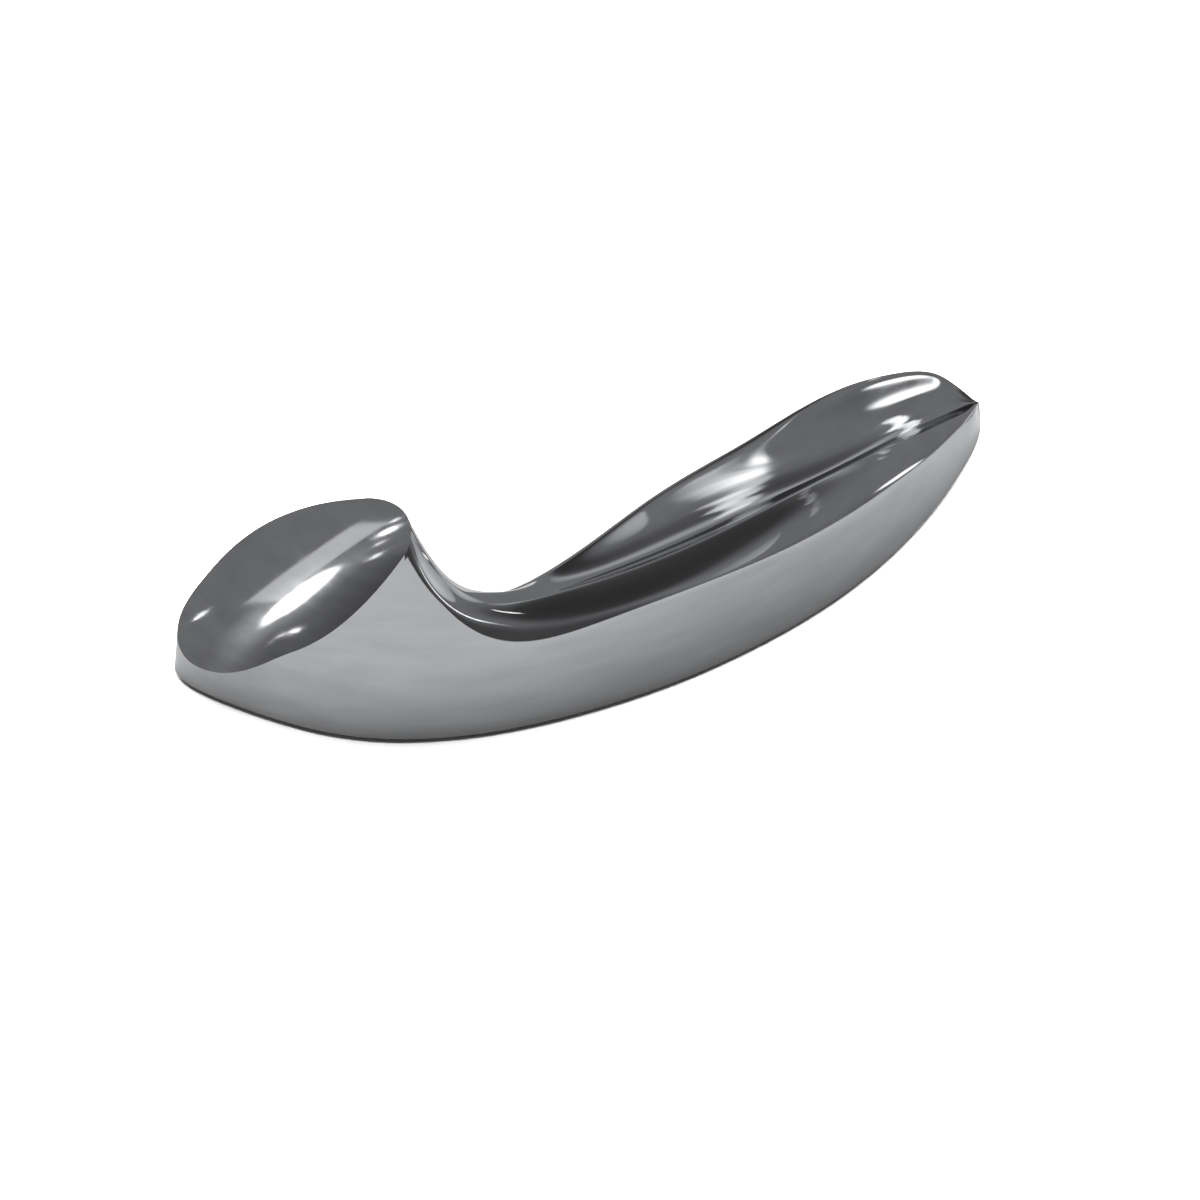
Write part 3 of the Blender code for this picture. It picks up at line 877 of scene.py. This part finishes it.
def add_world():
    """Grey room: mid-grey near eye level, dark overhead and darker in front of the chock."""
    world = bpy.data.worlds.new("room")
    world.use_nodes = True
    nodes, links = world.node_tree.nodes, world.node_tree.links
    place = nodes.new("ShaderNodeTexCoord")
    split = nodes.new("ShaderNodeSeparateXYZ")
    links.new(place.outputs["Generated"], split.inputs["Vector"])
    height = nodes.new("ShaderNodeMapRange")
    height.inputs["From Min"].default_value = -1.0
    links.new(split.outputs["Z"], height.inputs["Value"])
    ramp = nodes.new("ShaderNodeValToRGB")
    elements = ramp.color_ramp.elements
    elements[0].position, elements[0].color = 0.0, ROOM_BELOW
    elements[1].position, elements[1].color = 1.0, ROOM_ABOVE
    for z, tone in ROOM_TONES:
        elements.new((z + 1) / 2).color = (tone, tone, tone * 1.02, 1.0)
    links.new(height.outputs["Result"], ramp.inputs["Fac"])
    forward = nodes.new("ShaderNodeVectorMath")
    forward.operation = "DOT_PRODUCT"
    forward.inputs[1].default_value = toward(ROOM_DARK_SIDE, 0.0)
    links.new(place.outputs["Generated"], forward.inputs[0])
    shade = nodes.new("ShaderNodeMapRange")
    shade.interpolation_type = "SMOOTHSTEP"
    shade.inputs["From Min"].default_value = ROOM_DARKENING[0]
    shade.inputs["From Max"].default_value = ROOM_DARKENING[1]
    shade.inputs["To Min"].default_value = 1.0
    shade.inputs["To Max"].default_value = ROOM_DARK_SHARE
    links.new(forward.outputs["Value"], shade.inputs["Value"])
    background = nodes["Background"]
    links.new(ramp.outputs["Color"], background.inputs["Color"])
    links.new(shade.outputs["Result"], background.inputs["Strength"])
    bpy.context.scene.world = world


def soft_box(name, middle, reach, box):
    """Glowing panel, seen in the box's direction and size in degrees from a point of the chock."""
    azimuth, elevation, width, height, radiance, edge, turn, oval = box
    away = toward(azimuth, elevation)
    half_x = math.tan(math.radians(width) / 2)
    half_y = math.tan(math.radians(height) / 2)
    bm = bmesh.new()
    corners = [(-1, -1), (1, -1), (1, 1), (-1, 1)]
    bm.faces.new([bm.verts.new((half_x * i, half_y * j, 0.0)) for i, j in corners])
    panel = finish_mesh(name, bm, smooth=False)
    panel.location = Vector(to_frame(middle)) + away * reach
    panel.rotation_mode = "QUATERNION"
    facing = away.to_track_quat("Z", "Y")
    panel.rotation_quaternion = facing @ Euler((0.0, 0.0, math.radians(turn))).to_quaternion()
    panel.scale = (reach, reach, 1.0)
    panel.data.materials.append(glow(name, half_x, half_y, radiance, edge, oval))
    panel.visible_camera = False
    panel.visible_diffuse = False
    panel.visible_shadow = False


def gridded_light(name, target, away, along, long, short, radiance, spread):
    """Oval light turned to a point, seen only from near that point."""
    half = math.radians(spread) / 2
    boost = math.tan(half) / (math.tan(half) - half)
    light = bpy.data.lights.new(name, "AREA")
    light.shape = "ELLIPSE"
    light.size, light.size_y = long * MM, short * MM
    light.spread = 2 * half
    area = math.pi / 4 * light.size * light.size_y
    light.energy = 4 * radiance * area / boost
    obj = bpy.data.objects.new(name, light)
    bpy.context.collection.objects.link(obj)
    side = away.cross(along).normalized()
    along = side.cross(away)
    turn = Matrix((along, side, away)).transposed().to_4x4()
    place = Vector(to_frame(target)) + away * SPOT_DISTANCE * MM
    obj.matrix_world = Matrix.Translation(place) @ turn
    obj.visible_camera = False
    obj.visible_diffuse = False


def spot(name, target, directions, long, short, radiance):
    """Arc of small gridded lights, all turned to one point, so only that point mirrors them."""
    places = np.linspace(0, len(directions) - 1, SPOT_STEPS)
    azimuths = np.interp(places, range(len(directions)), [d[0] for d in directions])
    elevations = np.interp(places, range(len(directions)), [d[1] for d in directions])
    aims = [toward(a, e) for a, e in zip(azimuths, elevations)]
    for i, away in enumerate(aims):
        along = (aims[min(i + 1, SPOT_STEPS - 1)] - aims[max(i - 1, 0)]).normalized()
        label = "%s_%d" % (name, i)
        gridded_light(label, target, away, along, long, short, radiance, SPOT_SPREAD)


def glow(name, half_x, half_y, radiance, edge, oval):
    """Light that fades over the outer part of a panel and adds to what lies behind it."""
    material = bpy.data.materials.new(name)
    material.use_nodes = True
    nodes, links = material.node_tree.nodes, material.node_tree.links
    nodes.clear()
    place = nodes.new("ShaderNodeTexCoord")
    scale = nodes.new("ShaderNodeMapping")
    scale.inputs["Scale"].default_value = (1 / half_x, 1 / half_y, 0.0)
    links.new(place.outputs["Object"], scale.inputs["Vector"])
    if oval:
        reach = nodes.new("ShaderNodeVectorMath")
        reach.operation = "LENGTH"
        links.new(scale.outputs["Vector"], reach.inputs[0])
        distance = reach.outputs["Value"]
    else:
        split = nodes.new("ShaderNodeSeparateXYZ")
        links.new(scale.outputs["Vector"], split.inputs["Vector"])
        sides = []
        for axis in ("X", "Y"):
            side = nodes.new("ShaderNodeMath")
            side.operation = "ABSOLUTE"
            links.new(split.outputs[axis], side.inputs[0])
            sides.append(side.outputs["Value"])
        larger = nodes.new("ShaderNodeMath")
        larger.operation = "MAXIMUM"
        links.new(sides[0], larger.inputs[0])
        links.new(sides[1], larger.inputs[1])
        distance = larger.outputs["Value"]
    fade = nodes.new("ShaderNodeMapRange")
    fade.interpolation_type = "SMOOTHSTEP"
    fade.inputs["From Min"].default_value = 1.0 - edge
    fade.inputs["From Max"].default_value = 1.0
    fade.inputs["To Min"].default_value = radiance
    fade.inputs["To Max"].default_value = 0.0
    links.new(distance, fade.inputs["Value"])
    light = nodes.new("ShaderNodeEmission")
    links.new(fade.outputs["Result"], light.inputs["Strength"])
    clear = nodes.new("ShaderNodeBsdfTransparent")
    both = nodes.new("ShaderNodeAddShader")
    links.new(light.outputs["Emission"], both.inputs[0])
    links.new(clear.outputs["BSDF"], both.inputs[1])
    out = nodes.new("ShaderNodeOutputMaterial")
    links.new(both.outputs["Shader"], out.inputs["Surface"])
    return material


def add_sun():
    """Wide sun that lights the floor and the matt pieces but is not mirrored."""
    sun = bpy.data.lights.new("fill", "SUN")
    sun.energy = SUN_ENERGY
    sun.angle = math.radians(SUN_SPREAD)
    obj = bpy.data.objects.new("fill", sun)
    bpy.context.collection.objects.link(obj)
    obj.rotation_mode = "QUATERNION"
    obj.rotation_quaternion = toward(*SUN_FROM).to_track_quat("Z", "Y")
    obj.visible_glossy = False


def add_lights():
    add_sun()
    groups = [("cap_box", CAP_MIDDLE, BOX_DISTANCE, CAP_BOXES),
              ("horn_box", HORN_MIDDLE, BOX_DISTANCE, HORN_BOXES),
              ("card", CARD_MIDDLE, CARD_DISTANCE, CARDS)]
    for name, middle, reach, boxes in groups:
        for number, box in enumerate(boxes):
            soft_box("%s_%d" % (name, number), middle, reach, box)
    for number, row in enumerate(SPOTS):
        spot("spot_%d" % number, *row)
    for number, (target, direction, wide, high, radiance, spread) in enumerate(FLANK_SPOTS):
        away = toward(*direction)
        across = Vector((-away.y, away.x, 0.0)).normalized()
        name = "flank_spot_%d" % number
        gridded_light(name, target, away, across, wide, high, radiance, spread)


def dress(piece, node, material):
    """Put a detailed piece in place of a CAD node."""
    piece.data.materials.append(material)
    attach(piece, "root")
    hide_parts(node)


def add_chock():
    dress(casting(), "chock_body", polished_steel())
    gasket = sheet("gasket", gasket_plan, 0.0, GASKET_THICK, GASKET_ROUND, STUD_HOLE_R)
    dress(gasket, "base_gasket", rubber())


def add_hardware():
    """Everything below the deck, from the plate down."""
    fastener = plain_steel()
    under = -DECK_THICK
    plate = sheet("plate", plate_plan, under - PLATE_THICK, under, PLATE_ROUND, WASHER_BORE_R)
    dress(plate, "backing_plate", brushed_steel())
    for name, x, y in STUDS:
        stud = threaded_stud("threaded_stud_" + name, x, y, STUD_TOP[name])
        dress(stud, "stud_" + name, fastener)
        top = under - PLATE_THICK - GAP
        bottom = top - WASHER_THICK
        flat = washer("flat_washer_" + name, x, y, bottom, top)
        dress(flat, "washer_" + name, fastener)
        top = bottom - GAP
        bottom = top - SPRING_THICK
        spring = spring_washer("spring_washer_" + name, x, y, bottom, top)
        dress(spring, "lock_washer_" + name, fastener)
        top = bottom - GAP
        nut = hex_nut("hex_nut_" + name, x, y, top - NUT_THICK, top)
        dress(nut, "nut_" + name, fastener)


add_chock()
add_hardware()
add_camera()
add_floor()
add_world()
add_lights()
bpy.context.scene.view_settings.view_transform = "Standard"
bpy.context.scene.view_settings.look = "None"
